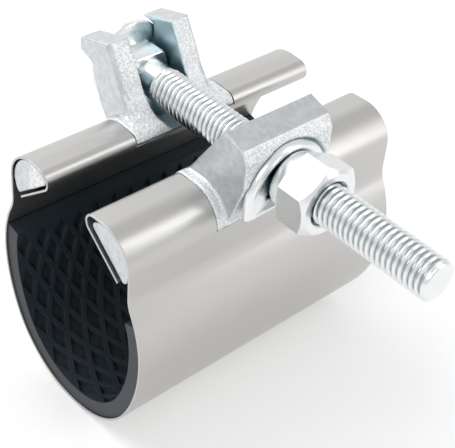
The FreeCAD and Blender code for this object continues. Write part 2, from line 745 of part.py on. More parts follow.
pieces = [band, gasket, fork_lug, front_lug, bolt, washer, nut]
for item in doc.Objects:
    if "Invalid" in item.State or "Error" in item.State:
        raise RuntimeError(item.Name + " failed: " + str(item.State))
for piece in pieces:
    if piece.Shape.isNull() or not piece.Shape.isValid() or len(piece.Shape.Solids) != 1:
        raise RuntimeError(piece.Label + " is not one sound solid")

os.makedirs("parts", exist_ok=True)
for piece in pieces:
    piece.Shape.exportStep("parts/%s.step" % piece.Label)
    box = piece.Shape.BoundBox
    print("%-10s %9.1f mm3  x %.1f..%.1f  y %.1f..%.1f  z %.1f..%.1f" % (
        piece.Label, piece.Shape.Volume, box.XMin, box.XMax, box.YMin, box.YMax, box.ZMin, box.ZMax))
print("pockets:", len(waffle))
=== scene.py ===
# %% [markdown]
# # A pipe repair clamp, dressed for its portrait
# A pipe repair clamp stops a leak: a thin steel band with a rubber lining goes round the pipe, two cast
# lugs hook into the folded ends of the band, and a bolt, a washer and a nut pull the lugs together. The
# solid model of it already has the sizes and the main shapes. This lesson loads that model as a fixed
# frame, gives each piece the surface of the real one, and replaces a solid only where the real piece
# has detail that the solid leaves out, such as the screw thread and the skin of a casting.

# %% Load the clamp
import bmesh
import bpy
import math
from mathutils import Matrix, Vector, noise


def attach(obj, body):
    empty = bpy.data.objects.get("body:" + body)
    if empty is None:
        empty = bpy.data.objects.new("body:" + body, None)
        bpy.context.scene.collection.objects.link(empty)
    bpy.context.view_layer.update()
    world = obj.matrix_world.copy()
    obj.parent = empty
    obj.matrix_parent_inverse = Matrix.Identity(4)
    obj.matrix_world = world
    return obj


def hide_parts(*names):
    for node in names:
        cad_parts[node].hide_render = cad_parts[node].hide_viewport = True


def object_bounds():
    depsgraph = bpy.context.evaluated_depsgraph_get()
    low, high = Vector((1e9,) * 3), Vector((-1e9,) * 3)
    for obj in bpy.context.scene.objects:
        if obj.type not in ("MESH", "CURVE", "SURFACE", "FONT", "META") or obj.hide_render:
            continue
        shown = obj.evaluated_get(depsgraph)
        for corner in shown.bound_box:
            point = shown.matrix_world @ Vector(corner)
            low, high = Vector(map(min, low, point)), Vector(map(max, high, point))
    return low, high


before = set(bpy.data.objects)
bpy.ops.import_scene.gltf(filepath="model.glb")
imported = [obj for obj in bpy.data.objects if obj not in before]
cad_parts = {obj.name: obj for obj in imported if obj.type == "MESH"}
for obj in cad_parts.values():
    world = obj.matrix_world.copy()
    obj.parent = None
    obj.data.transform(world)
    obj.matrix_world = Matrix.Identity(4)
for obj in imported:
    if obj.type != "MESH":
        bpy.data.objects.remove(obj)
solid_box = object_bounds()
scene = bpy.context.scene
print("solids:", sorted(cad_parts))
print("box in mm:", [[round(value * 1000, 2) for value in corner] for corner in solid_box])

# %% [markdown]
# ## Writing shaders as sums
# A surface is a small web of nodes. Placing them by hand is slow to read, so one class wraps the output
# of a node and lets Python's own signs build the Math nodes: `1 - mask * 0.5` is then a real piece of
# the web. Colours and vectors have their own helpers, because a Math node turns a colour grey.

# %% A socket that can be added and multiplied
class Signal:
    """The output of a node, with Python's operators standing for Math nodes."""

    def __init__(self, web, socket):
        self.web = web
        self.socket = socket

    def _math(self, operation, first, second=0.0):
        return self.web.node("ShaderNodeMath", {"operation": operation}, {0: first, 1: second})

    def __add__(self, other):
        return self._math("ADD", self, other)

    def __radd__(self, other):
        return self._math("ADD", other, self)

    def __sub__(self, other):
        return self._math("SUBTRACT", self, other)

    def __rsub__(self, other):
        return self._math("SUBTRACT", other, self)

    def __mul__(self, other):
        return self._math("MULTIPLY", self, other)

    def __rmul__(self, other):
        return self._math("MULTIPLY", other, self)

    def size(self):
        return self._math("ABSOLUTE", self)

    def highest(self, other):
        return self._math("MAXIMUM", self, other)

    def above(self, low, high):
        """0 below low, 1 above high, with a soft step between."""
        settings = {"interpolation_type": "SMOOTHSTEP"}
        return self.web.node("ShaderNodeMapRange", settings, {0: self, 1: low, 2: high})


# %% [markdown]
# ## One method for every node
# Every other node comes from `node`: the settings are set first, because some of them change which
# sockets exist, and then each socket gets a value or a link. The same method serves the materials and
# the world, so it stands in a class of its own.

# %% A web of nodes
class Web:
    """The nodes of one material or of the world."""

    def __init__(self, tree):
        self.tree = tree

    def node(self, kind, settings=None, inputs=None, output=0):
        made = self.tree.nodes.new(kind)
        for key, value in (settings or {}).items():
            setattr(made, key, value)
        for key, value in (inputs or {}).items():
            if isinstance(value, Signal):
                self.tree.links.new(value.socket, made.inputs[key])
            else:
                made.inputs[key].default_value = value
        return Signal(self, made.outputs[output])

    def looked_at(self):
        """1 for rays from the camera and for those that metal or glass sends on, 0 for the light itself."""
        direct = self.node("ShaderNodeLightPath", output="Is Camera Ray")
        mirrored = self.node("ShaderNodeLightPath", output="Is Glossy Ray")
        passed = self.node("ShaderNodeLightPath", output="Is Transmission Ray")
        return direct.highest(mirrored.highest(passed))

    def choose(self, factor, first, second):
        """A shader that goes from first to second."""
        return self.node("ShaderNodeMixShader", None, {0: factor, 1: first, 2: second})

    def end(self, output, shader):
        """Links a shader into the output node of this name."""
        self.tree.links.new(shader.socket, self.tree.nodes[output].inputs["Surface"])


def colour(red, green, blue):
    return (red, green, blue, 1.0)


print("black is written", colour(0, 0, 0))

# %% [markdown]
# ## A finish is one material
# Blender's Principled surface can be metal, rubber or paint. What is the same all over goes straight on
# its sockets when the finish is made; what changes over the surface is worked out with the helpers
# below and linked at the end by `feed`.

# %% A material that is written, not wired
NOTHING_STRETCHED = (1.0, 1.0, 1.0)
MIX_FIRST, MIX_SECOND, MIX_RESULT = 6, 7, 2    # the colour sockets of a Mix node
CORNER_SAMPLES = 8


class Finish(Web):
    """One material with a Principled surface, built from short expressions."""

    def __init__(self, name, **surface):
        self.material = bpy.data.materials.new(name)
        self.material.use_nodes = True
        super().__init__(self.material.node_tree)
        self.surface = self.tree.nodes["Principled BSDF"]
        for socket, value in surface.items():
            self.surface.inputs[socket.replace("_", " ")].default_value = value

    def place(self, stretch=NOTHING_STRETCHED):
        """The object's own coordinates, stretched along its axes."""
        where = self.node("ShaderNodeTexCoord", output="Object")
        return self.node("ShaderNodeVectorMath", {"operation": "MULTIPLY"}, {0: where, 1: stretch})

    def grain(self, size, stretch=NOTHING_STRETCHED, detail=2.0, roughness=0.5):
        """Noise with features of about the given size in metres."""
        place = self.place(stretch)
        inputs = {"Vector": place, "Scale": 1.0 / size, "Detail": detail, "Roughness": roughness}
        return self.node("ShaderNodeTexNoise", None, inputs)

    def blend(self, amount, first, second):
        """Colour that goes from first to second."""
        inputs = {0: amount, MIX_FIRST: first, MIX_SECOND: second}
        return self.node("ShaderNodeMix", {"data_type": "RGBA"}, inputs, MIX_RESULT)

    def facing(self, axis, low, high):
        """1 where the surface faces along an axis, either way, and 0 where it doesn't."""
        normal = self.node("ShaderNodeNewGeometry", output="Normal")
        return self.node("ShaderNodeSeparateXYZ", None, {0: normal}, axis).size().above(low, high)

    def coordinate(self, axis):
        """Place along one axis of the shared frame, in metres."""
        return self.node("ShaderNodeSeparateXYZ", None, {0: self.place()}, axis)

    def openness(self, reach, closed=0.0, wide=0.8):
        """1 on an open surface, falling towards 0 deep in a corner or a groove; blended into a colour, it
        paints shade there.
        """
        settings = {"samples": CORNER_SAMPLES}
        open_part = self.node("ShaderNodeAmbientOcclusion", settings, {"Distance": reach}, "AO")
        return open_part.above(closed, wide)

    def rounded_edge(self, radius):
        """Normals that make sharp edges look as if they had this radius."""
        return self.node("ShaderNodeBevel", {"samples": 6}, {"Radius": radius})

    def bump(self, height, distance, strength=1.0, normal=None):
        inputs = {"Height": height, "Distance": distance, "Strength": strength}
        if normal is not None:
            inputs["Normal"] = normal
        return self.node("ShaderNodeBump", None, inputs)

    def feed(self, **sockets):
        """Links what varies over the surface into the Principled surface."""
        for name, signal in sockets.items():
            self.tree.links.new(signal.socket, self.surface.inputs[name.replace("_", " ")])
        print("finish %-14s %3d nodes" % (self.material.name, len(self.tree.nodes)))
        return self.material


# %% [markdown]
# ## The viewpoint
# The clamp was photographed from close by, above its front right corner, and a little tilted. The
# numbers come from a camera fitted to the edges of the ring, the hooks and the bolt. No lens shift is
# needed, so the same camera also serves every other view.

# %% Camera
CAMERA_PLACE = (0.16162, -0.15292, 0.19695)
CAMERA_TURN, CAMERA_RISE, CAMERA_LEAN = 44.868, 39.607, 5.537
CAMERA_LENS, SENSOR_WIDTH = 92.10, 36.0
NEAREST, FURTHEST = 0.01, 20.0


def make_camera():
    camera = bpy.data.objects.new("camera", bpy.data.cameras.new("camera"))
    scene.collection.objects.link(camera)
    turn, rise, lean = (math.radians(angle) for angle in (CAMERA_TURN, CAMERA_RISE, CAMERA_LEAN))
    back = Vector((math.sin(turn) * math.cos(rise), -math.cos(turn) * math.cos(rise), math.sin(rise)))
    right = Vector((math.cos(turn), math.sin(turn), 0))
    upwards = back.cross(right)
    leaned_right = right * math.cos(lean) + upwards * math.sin(lean)
    leaned_up = upwards * math.cos(lean) - right * math.sin(lean)
    rotation = Matrix((leaned_right, leaned_up, back)).transposed().to_4x4()
    camera.matrix_world = Matrix.Translation(CAMERA_PLACE) @ rotation
    camera.data.lens = CAMERA_LENS
    camera.data.sensor_width = SENSOR_WIDTH
    camera.data.clip_start = NEAREST
    camera.data.clip_end = FURTHEST
    return camera


scene.camera = make_camera()
scene.view_settings.view_transform = "Standard"
print("camera at", tuple(round(v, 3) for v in scene.camera.location))

# %% [markdown]
# ## The floor
# The photograph is a product shot on white. More light would make the floor white, but it would also
# bleach the clamp. So the floor is pale paint that keeps the shadow, with a little glow that the camera,
# polished metal and glass see and that adds no light to dull surfaces.

# %% Floor
FLOOR_COLOUR = colour(0.90, 0.89, 0.88)
FLOOR_ROUGHNESS = 0.9
GLOW_SHARE, GLOW_STRENGTH = 0.1, 2.9
FLOOR_HALF = 6.0


def make_floor(level):
    mesh = bpy.data.meshes.new("floor")
    corners = [(-FLOOR_HALF, -FLOOR_HALF, level), (FLOOR_HALF, -FLOOR_HALF, level),
               (FLOOR_HALF, FLOOR_HALF, level), (-FLOOR_HALF, FLOOR_HALF, level)]
    mesh.from_pydata(corners, [], [(0, 1, 2, 3)])
    floor = bpy.data.objects.new("floor", mesh)
    scene.collection.objects.link(floor)
    return floor


def pale_floor():
    paint = Finish("pale_floor", Base_Color=FLOOR_COLOUR, Roughness=FLOOR_ROUGHNESS)
    lit = Signal(paint, paint.surface.outputs[0])
    glow = paint.node("ShaderNodeEmission", None, {"Color": colour(1, 1, 1), "Strength": GLOW_STRENGTH})
    paint.end("Material Output", paint.choose(paint.looked_at() * GLOW_SHARE, lit, glow))
    return paint.material


floor = make_floor(solid_box[0].z)
floor.data.materials.append(pale_floor())
print("floor at", round(solid_box[0].z, 4))

# %% [markdown]
# ## Lamps and sky
# Polished metal shows mostly what stands round it, so the size and the place of each lamp decide where
# its bright stripes fall. Four soft lamps do it here. The key stands high on the left, a narrow strip
# on the right draws the long highlight on the hooks, and two others fill the front and the back.
# An even sky lights all sides, and metal and the camera see it a little brighter than it lights.

# %% Lamps
LAMPS = {
    # name: (place, what it points at, width and height, power in watts)
    "key": ((-0.60, -0.25, 0.75), (0, 0, 0), (0.7, 0.7), 4.3),
    "right_strip": ((0.60, 0.48, 0.42), (0, 0, 0.02), (0.14, 0.9), 1.3),
    "front_top": ((0.55, -0.75, 0.75), (0, 0, 0.03), (0.6, 0.5), 1.5),
    "back_left": ((-0.75, 0.50, 0.45), (0, 0, 0.02), (0.8, 0.8), 0.7),
}


def soft_lamp(name, place, target, size, power):
    data = bpy.data.lights.new(name, "AREA")
    data.shape = "RECTANGLE"
    data.size, data.size_y = size
    data.energy = power
    lamp = bpy.data.objects.new(name, data)
    scene.collection.objects.link(lamp)
    lamp.location = place
    lamp.rotation_euler = (Vector(target) - Vector(place)).to_track_quat("-Z", "Y").to_euler()


for lamp_name, lamp_values in LAMPS.items():
    soft_lamp(lamp_name, *lamp_values)
print("lamps:", ", ".join(LAMPS))

# %% Sky
SKY_COLOUR, SKY_STRENGTH = colour(0.97, 0.98, 1.0), 0.64
SEEN_SKY = colour(0.8, 0.8, 0.8)

world = bpy.data.worlds.new("studio")
scene.world = world
world.use_nodes = True
sky = world.node_tree.nodes["Background"]
sky.inputs["Color"].default_value = SKY_COLOUR
sky.inputs["Strength"].default_value = SKY_STRENGTH
air = Web(world.node_tree)
seen_sky = air.node("ShaderNodeBackground", None, {"Color": SEEN_SKY, "Strength": 1.0})
air.end("World Output", air.choose(air.looked_at(), Signal(air, sky.outputs[0]), seen_sky))
print("sky strength", SKY_STRENGTH, "and seen as", SEEN_SKY[0])

# %% [markdown]
# ## Satin stainless sheet
# The band is rolled stainless sheet. Rolling leaves faint lines along the pipe, so noise is stretched
# that way, and it makes the metal a little rougher here than there. A painted picture could do it, but
# noise has no seams and no end. Where the sheet lies close to another piece, shade is painted in.

# %% Band steel
def band_steel():
    darker, lighter = colour(0.51, 0.503, 0.49), colour(0.555, 0.548, 0.536)
    # Painted shade: gap is the dark colour painted where the sheet lies close to another piece.
    gap = colour(0.03, 0.035, 0.04)
    steel = Finish("band_steel", Metallic=1.0, Roughness=0.3)
    rolled = steel.grain(0.0006, stretch=(1.0, 0.02, 1.0), detail=3.0)
    cloud = steel.grain(0.03, detail=2.0)
    unshaded = steel.blend(cloud, darker, lighter)
    # Painted shade: where the sheet lies close to another piece, its colour goes dark.
    shade_near_parts = steel.openness(0.0014, 0.35, 0.75)
    tone = steel.blend(shade_near_parts, gap, unshaded)
    rough = 0.29 + rolled * 0.08 + cloud * 0.04
    edge = steel.rounded_edge(0.00025)
    bump = steel.bump(rolled, 0.00001, 0.3, normal=edge)
    return steel.feed(Base_Color=tone, Roughness=rough, Normal=bump)


finishes = {"band": band_steel()}

# %% [markdown]
# ## Dull moulded rubber
# The lining is black rubber with a blue cast and rows of diamond pockets. Its ends are cut across and
# look greyer. A second material could go on them, but it is simpler to ask which way a face looks: the
# cut ends look along the pipe. The pockets are in the solid already, and shade is painted into them.

# %% Lining rubber
def lining_rubber():
    darker, lighter = colour(0.014, 0.023, 0.030), colour(0.021, 0.032, 0.041)
    # Painted shade: deep is the colour painted into the pockets and other closed places.
    deep, cut_end = colour(0.002, 0.004, 0.006), colour(0.050, 0.056, 0.064)
    rubber = Finish("lining_rubber", Roughness=0.55, Specular_IOR_Level=0.3)
    cloud = rubber.grain(0.012, detail=3.0)
    speck = rubber.grain(0.0004, detail=2.0)
    moulded = rubber.blend(cloud, darker, lighter)
    cut = rubber.facing("Y", 0.8, 0.95)
    # Painted shade: the pockets and other closed places go darker.
    shaded = rubber.blend(rubber.openness(0.003), deep, moulded)
    tone = rubber.blend(cut, shaded, cut_end)
    rough = 0.45 + speck * 0.2
    edge = rubber.rounded_edge(0.0003)
    bump = rubber.bump(speck, 0.00003, 0.5, normal=edge)
    return rubber.feed(Base_Color=tone, Roughness=rough, Normal=bump)


finishes["gasket"] = lining_rubber()

# %% [markdown]
# ## Zinc-plated casting
# The lugs are castings with a bright zinc plate. The photograph shows two skins on them: a smooth one,
# and a rough one that sparkles where a face looks along the bolt, on the foot of the fork and at the
# ends of the roots. Masks made from the way a face looks and from its place tell the two apart.

# %% Cast zinc
def rough_places(cast):
    """1 where a lug has the rough skin."""
    x, y = cast.coordinate("X"), cast.coordinate("Y")
    fork_foot = x.above(-0.0156, -0.0146) * (-1.0 * x).above(0.0, 0.001)
    root_ends = y.size().above(0.0131, 0.0134) * (1.0 - y.size().above(0.0300, 0.0305))
    return cast.facing("X", 0.74, 0.84).highest(fork_foot.highest(root_ends))


def slot_walls(cast):
    """1 on the walls of the fork's slot, where a reflection is painted."""
    x, y = cast.coordinate("X"), cast.coordinate("Y")
    return (1.0 - y.size().above(0.0066, 0.0070)) * (1.0 - x.above(-0.0150, -0.0140))


def cast_zinc():
    darker, lighter = colour(0.55, 0.57, 0.59), colour(0.655, 0.675, 0.69)
    pit, sparkle = colour(0.62, 0.65, 0.68), colour(1.0, 1.0, 1.0)
    # Painted shade: corner is the dark blue-green painted into the corners and grooves of the lugs.
    painted_slot_reflection, corner = colour(0.50, 0.64, 0.70), colour(0.26, 0.40, 0.45)
    cast = Finish("cast_zinc", Metallic=1.0, Roughness=0.35)
    pebbled = rough_places(cast)
    pebble = cast.grain(0.0005, detail=3.0, roughness=0.6)
    cloud = cast.grain(0.0016, detail=4.0, roughness=0.6).above(0.3, 0.7)
    # Painted reflection: the walls of the fork's slot get a blue-green tint in place of reflected light.
    smooth = cast.blend(slot_walls(cast), cast.blend(cloud, darker, lighter), painted_slot_reflection)
    rough_skin = cast.blend(pebble.above(0.33, 0.66), pit, sparkle)
    # Painted shade: closed corners of the lugs go dark blue-green.
    tone = cast.blend(cast.openness(0.006), corner, cast.blend(pebbled, smooth, rough_skin))
    rough = 0.34 + pebble * 0.12
    bump = cast.bump(pebble * (0.16 + pebbled * 0.84), 0.0003, 0.8)
    return cast.feed(Base_Color=tone, Metallic=1.0 - pebbled * 0.5, Roughness=rough, Normal=bump)


finishes["cast"] = cast_zinc()

# %% [markdown]
# ## Bright zinc-plated steel
# The bolt, the washer and the nut have a smooth bright plate with a slight cloud in it. The photograph
# shows a dark blue-green at the bottom of the thread, where shade falls, and a mask of how open the
# surface is paints that tone into the grooves as painted shade.

# %% Bright zinc
def bright_zinc():
    darker, lighter = colour(0.75, 0.78, 0.785), colour(0.87, 0.88, 0.88)
    # Painted shade: groove is the dark blue-green painted into the thread and other closed places.
    groove = colour(0.07, 0.16, 0.18)
    zinc = Finish("bright_zinc", Metallic=1.0, Roughness=0.25)
    cloud = zinc.grain(0.004, detail=3.0)
    unshaded = zinc.blend(cloud, darker, lighter)
    # Painted shade: the grooves and other closed places go dark blue-green.
    tone = zinc.blend(zinc.openness(0.0022), groove, unshaded)
    rough = 0.20 + cloud * 0.12
    bump = zinc.bump(zinc.grain(0.0015), 0.00001, 0.3)
    return zinc.feed(Base_Color=tone, Roughness=rough, Normal=bump)


finishes["zinc"] = bright_zinc()

# %% [markdown]
# ## Band and lining
# The solids of the band and of the lining already have every fold and pocket that the photograph shows,
# so they stay as they are and only get their finish.

# %% Finishes on the solids that stay
for node in ("band", "gasket"):
    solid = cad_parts[node]
    solid.data.materials.clear()
    solid.data.materials.append(finishes[node])
    print("dressed", node)

# %% [markdown]
# ## Pieces with more detail than their solids
# The bolt, the washer and the nut are built round one axis, so each is a stack of rings of points that
# are joined by faces. Blender has a Screw modifier for round shapes, but rings written as numbers can
# also turn into a hexagon or an arch. All lengths are in millimetres until the mesh is made.

# %% A ring round the bolt's axis
AXIS_HEIGHT = 44.0


def around(x, radius, angle):
    """Point at an angle round the axis of the bolt; angle 0 points along the pipe, 90 degrees is up."""
    return (x, radius * math.cos(angle), AXIS_HEIGHT + radius * math.sin(angle))


def ring(x, radius, sides=96):
    return [around(x, radius, 2 * math.pi * step / sides) for step in range(sides)]


print("axis of the bolt at z =", AXIS_HEIGHT, "mm")

# %% A shape gathered from rows of points
class Shape:
    """Points and faces from several makers, joined into one piece at the end."""

    def __init__(self):
        self.points = []
        self.faces = []

    def grid(self, rows, closed=True):
        """Joins rows of equally many points. A closed grid also joins the end of a row to its start."""
        first = len(self.points)
        count = len(rows[0])
        for row in rows:
            self.points.extend(row)
        for row in range(len(rows) - 1):
            start = first + row * count
            over = start + count
            for step in range(count if closed else count - 1):
                after = (step + 1) % count
                self.faces.append((start + step, start + after, over + after, over + step))

    def cap(self, row):
        first = len(self.points)
        self.points.extend(row)
        self.faces.append(tuple(range(first, first + len(row))))

    def made(self, name, node, body, slot, material, sharp=28.0):
        """One object that stands for a solid and moves with its body."""
        mesh = bpy.data.meshes.new(name)
        mesh.from_pydata([[value * 0.001 for value in point] for point in self.points], [], self.faces)
        builder = bmesh.new()
        builder.from_mesh(mesh)
        bmesh.ops.remove_doubles(builder, verts=builder.verts, dist=1e-6)
        bmesh.ops.dissolve_degenerate(builder, edges=builder.edges, dist=1e-7)
        bmesh.ops.recalc_face_normals(builder, faces=builder.faces)
        builder.to_mesh(mesh)
        builder.free()
        mesh.shade_smooth()
        mesh.set_sharp_from_angle(angle=math.radians(sharp))
        piece = bpy.data.objects.new(name, mesh)
        return settle(piece, node, body, material)


def settle(piece, node, body, material):
    """Puts a piece in the scene in place of its solid."""
    if piece.name not in scene.collection.objects:
        scene.collection.objects.link(piece)
    piece.data.materials.clear()
    piece.data.materials.append(material)
    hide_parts(node)
    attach(piece, body)
    print("%-14s %6d faces" % (piece.name, len(piece.data.polygons)))
    return piece


# %% [markdown]
# ## The bolt's thread
# The thread is a true helix. Its grid runs slanted round the shank: every step round the axis also moves
# a little along it, so after one turn a row meets the row one pitch further on. A texture could fake the
# grooves, but their edge against the light would stay straight. The depth grows from the plain shank,
# and near the tip the grooves fill up and a cone trims the end.

# %% Thread of the bolt
PITCH = 1.5
GROOVE = [(0.0, 0.0), (0.07, 0.0), (0.16, 0.12), (0.40, 0.92),
          (0.5, 1.0), (0.60, 0.92), (0.84, 0.12), (0.93, 0.0)]    # part of a pitch, part of the depth
CREST, DEPTH, SHANK, TIP = 4.9, 0.9, 4.5, 4.35
THREAD_START, THREAD_END = -17.0, 70.0
RUN_IN, RUN_OUT = 1.6, 1.2
LOWERED_CREST = 0.1
THREAD_SIDES = 64


def groove_depth(phase):
    """Part of the full depth at a part of the pitch."""
    stops = GROOVE + [(1.0, 0.0)]
    for (low, shallow), (high, deep) in zip(stops, stops[1:]):
        if phase <= high:
            break
    return shallow + (deep - shallow) * (phase - low) / (high - low)


def thread_radius(x, turned):
    """Radius of the thread at a place; turned is the part of a turn round the axis."""
    phase = ((x - THREAD_START) / PITCH - turned) % 1.0
    radius = CREST - DEPTH * groove_depth(phase)
    fade = min(1.0, (x - THREAD_START) / RUN_IN)
    radius = SHANK + (radius - SHANK) * fade
    filled = max(0.0, 1.0 - (THREAD_END - x) / RUN_OUT)
    radius += (CREST - LOWERED_CREST - radius) * filled
    return min(radius, TIP + (THREAD_END - x))


def thread_rows():
    rows = []
    turns = math.ceil((THREAD_END - THREAD_START) / PITCH)
    for turn in range(-1, turns + 1):
        for phase, _ in GROOVE:
            row = []
            for step in range(THREAD_SIDES + 1):
                turned = step / THREAD_SIDES
                x = THREAD_START + (turn + phase + turned) * PITCH
                x = max(THREAD_START, min(THREAD_END, x))
                row.append(around(x, thread_radius(x, turned), 2 * math.pi * turned))
            rows.append(row)
    return rows


print("thread:", math.ceil((THREAD_END - THREAD_START) / PITCH), "turns of", PITCH, "mm")

# %% [markdown]
# ## Head, neck and shank
# The head is a thin disc with a rounded rim and a low cone that runs into the neck, so its profile is a
# list of places and radii. The neck has six sides and sits between the tines, where it keeps the bolt
# from turning. Each of its corners is a short arc that touches both sides. A Bevel modifier would round
# them too, but the arcs keep the section as one list that the rows of the neck can repeat and shrink.

# %% Bolt with a disc head
HEAD = [(-31.3, 9.6), (-31.22, 10.2), (-30.95, 10.6), (-30.5, 10.8), (-29.7, 10.8),
        (-29.3, 10.65), (-29.1, 10.3), (-29.0, 8.2), (-28.6, 6.2), (-27.8, 5.2)]    # place, radius
SHANK_START = -24.0
NECK_CORNERS = [(6.2, 0), (4.2, 5.3), (-4.2, 5.3), (-6.2, 0), (-4.2, -5.3), (4.2, -5.3)]
NECK_ROUNDING = 0.7
NECK_ROWS = ((-29.2, 1.0), (-22.5, 1.0), (-22.2, 0.98), (-22.0, 0.93))    # place, scale of the section


def rounded(corners, radius, steps=5):
    """Outline with rounded corners, from (along the pipe, up) places round the axis."""
    outline = []
    for index, corner in enumerate(corners):
        corner = Vector(corner)
        back = (Vector(corners[index - 1]) - corner).normalized()
        ahead = (Vector(corners[(index + 1) % len(corners)]) - corner).normalized()
        half = back.angle(ahead) / 2
        centre = corner + (back + ahead).normalized() * (radius / math.sin(half))
        start = corner + back * (radius / math.tan(half)) - centre
        end = corner + ahead * (radius / math.tan(half)) - centre
        for step in range(steps + 1):
            outline.append(centre + start.slerp(end, step / steps))
    return outline


def bolt_shape():
    bolt = Shape()
    bolt.grid(thread_rows(), closed=False)
    bolt.cap(ring(THREAD_END, TIP, THREAD_SIDES))
    bolt.grid([ring(x, SHANK, THREAD_SIDES) for x in (SHANK_START, THREAD_START)])
    bolt.grid([ring(x, radius) for x, radius in HEAD])
    bolt.cap(ring(*HEAD[0]))
    section = rounded(NECK_CORNERS, NECK_ROUNDING)
    rows = []
    for x, scale in NECK_ROWS:
        rows.append([(x, point.x * scale, AXIS_HEIGHT + point.y * scale) for point in section])
    bolt.grid(rows)
    bolt.cap(rows[-1])
    return bolt


bolt_shape().made("bolt_detail", "bolt", "clamp", "zinc_steel", finishes["zinc"])

# %% [markdown]
# ## The nut
# A hexagon is a circle whose radius swells towards six corners. Both ends of the nut are turned with a
# cone, and where the cone meets the flats it leaves the curved chamfers that every nut has. A cut with
# a Boolean would give the same curves, but the radius of the hexagon gives them directly.

# %% Nut on its collar
NUT_HALF_FLATS = 8.1
NUT_CORNER = math.radians(95)
CHAMFER_RADIUS, CHAMFER_SLOPE = 7.5, math.tan(math.radians(38))
NUT_SIDES = 96
NUT_BACK, NUT_END = 31.0, 39.4
BACK_CHAMFER, END_CHAMFER = 0.5, -1    # share of the cone's slope, and the way into the nut
COLLAR = [(26.9, 5.0), (26.9, 5.9), (27.4, 6.5), (28.3, 7.0), (30.9, 7.2)]    # place, radius
MOUTH = [(39.4, 5.75), (39.3, 5.6), (38.6, 4.96), (34.0, 4.96)]               # place, radius


def nut_ring(x, radius):
    return [around(x, radius, NUT_CORNER + 2 * math.pi * step / NUT_SIDES) for step in range(NUT_SIDES)]


def hexagon_ring(x, inward):
    """Edge between a chamfer cone and the flats. Inward is the way from the end face into the nut."""
    row = []
    for step in range(NUT_SIDES):
        turned = 2 * math.pi * step / NUT_SIDES
        radius = NUT_HALF_FLATS / math.cos(turned % math.radians(60) - math.radians(30))
        drop = (radius - CHAMFER_RADIUS) * CHAMFER_SLOPE
        row.append(around(x + inward * drop, radius, NUT_CORNER + turned))
    return row


def nut_shape():
    nut = Shape()
    rows = [nut_ring(x, radius) for x, radius in COLLAR]
    rows += [nut_ring(NUT_BACK, CHAMFER_RADIUS), hexagon_ring(NUT_BACK, BACK_CHAMFER)]
    rows += [hexagon_ring(NUT_END, END_CHAMFER), nut_ring(NUT_END, CHAMFER_RADIUS)]
    rows += [nut_ring(x, radius) for x, radius in MOUTH]
    nut.grid(rows)
    return nut


nut_shape().made("nut_detail", "nut", "nut", "zinc_steel", finishes["zinc"])

# %% [markdown]
# ## The washer
# The washer is pressed from sheet: an arch above, straight sides and a straight lower edge, with a rim
# that stands up round a shallow bowl. One section from the outline to the hole, repeated at every angle
# round the axis, draws it all, because only the distance to the outline changes with the angle.

# %% Dished washer with an arched outline
SADDLE_HALF, SADDLE_CENTRE, SADDLE_DROP = 12.2, -4.0, 8.0
SADDLE_BACK = 25.6
WASHER_SIDES, WASHER_HOLE = 180, 5.6
WASHER_SECTION = [(0.0, 25.6), (0.05, 26.0), (0.25, 26.5), (0.6, 26.95), (1.1, 27.25),
                  (1.6, 27.35), (2.1, 27.25), (3.0, 27.0), (4.3, 26.8), (6.5, 26.7)]    # inset, place


def saddle_radius(angle):
    """Distance from the bolt's axis to the outline: round above, straight at the sides and below."""
    along, upward = math.cos(angle), math.sin(angle)
    round_top = SADDLE_CENTRE * upward + math.sqrt(SADDLE_HALF ** 2 - (SADDLE_CENTRE * along) ** 2)
    if round_top * upward >= SADDLE_CENTRE:
        return round_top
    reach = SADDLE_HALF / max(abs(along), 1e-6)
    if upward < 0:
        reach = min(reach, SADDLE_DROP / -upward)
    return reach


def washer_shape():
    """A rim that rises from the outline, and a bowl that falls from the rim to the hole."""
    angles = [2 * math.pi * step / WASHER_SIDES for step in range(WASHER_SIDES)]
    rows = []
    for inset, x in WASHER_SECTION:
        rows.append([around(x, max(saddle_radius(angle) - inset, WASHER_HOLE), angle) for angle in angles])
    rows.append([around(SADDLE_BACK, WASHER_HOLE, angle) for angle in angles])
    rows.append(rows[0])
    washer = Shape()
    washer.grid(rows)
    return washer


washer_shape().made("washer_detail", "washer", "washer", "zinc_steel", finishes["zinc"], sharp=40.0)

# %% [markdown]
# ## Faces of the castings
# The solids of the lugs have flat faces and sharp edges. The real ones have more: each tine of the fork
# spreads into a concave foot and loses a strip along its outer front edge, and the front lug has a seat
# of the washer's own outline. The feet are added as shapes. The strip and the seat move points of the
# face, and for that the front of each lug is written as a row of straight stretches.

# %% Where the faces lie
FORK_FRONT = [(-22.3, 56.6), (-17.8, 49.0), (-13.3, 40.0)]                 # x, z
NUT_FRONT = [(24.8, 54.4), (26.4, 51.4), (26.4, 45.4), (22.25, 33.05)]    # x, z
TINE_INNER, TINE_OUTER, ROOT_FLARE = 6.4, 12.4, 2.6
EDGE_STRIP = 1.1


def face_at(front, z):
    """Place of a face along the bolt at a height."""
    for (x0, z0), (x1, z1) in zip(front, front[1:]):
        if z >= z1:
            break
    return x0 + (x1 - x0) * (z - z0) / (z1 - z0)


print("slot of the fork", 2 * TINE_INNER, "mm wide")

# %% Concave feet of the tines
FLARE_START, FLARE_TURN, FLARE_END = Vector((-16.6, 46.5)), Vector((-13.2, 41.2)), Vector((-8.3, 40.0))
FLARE_INSIDE = ((-8.6, 38.0), (-17.0, 38.0), (-18.5, 46.5))    # x, z of corners inside the lug
FLARE_STEPS = 12
SUNK, SHORT_OF_FLARE = 0.05, 0.3


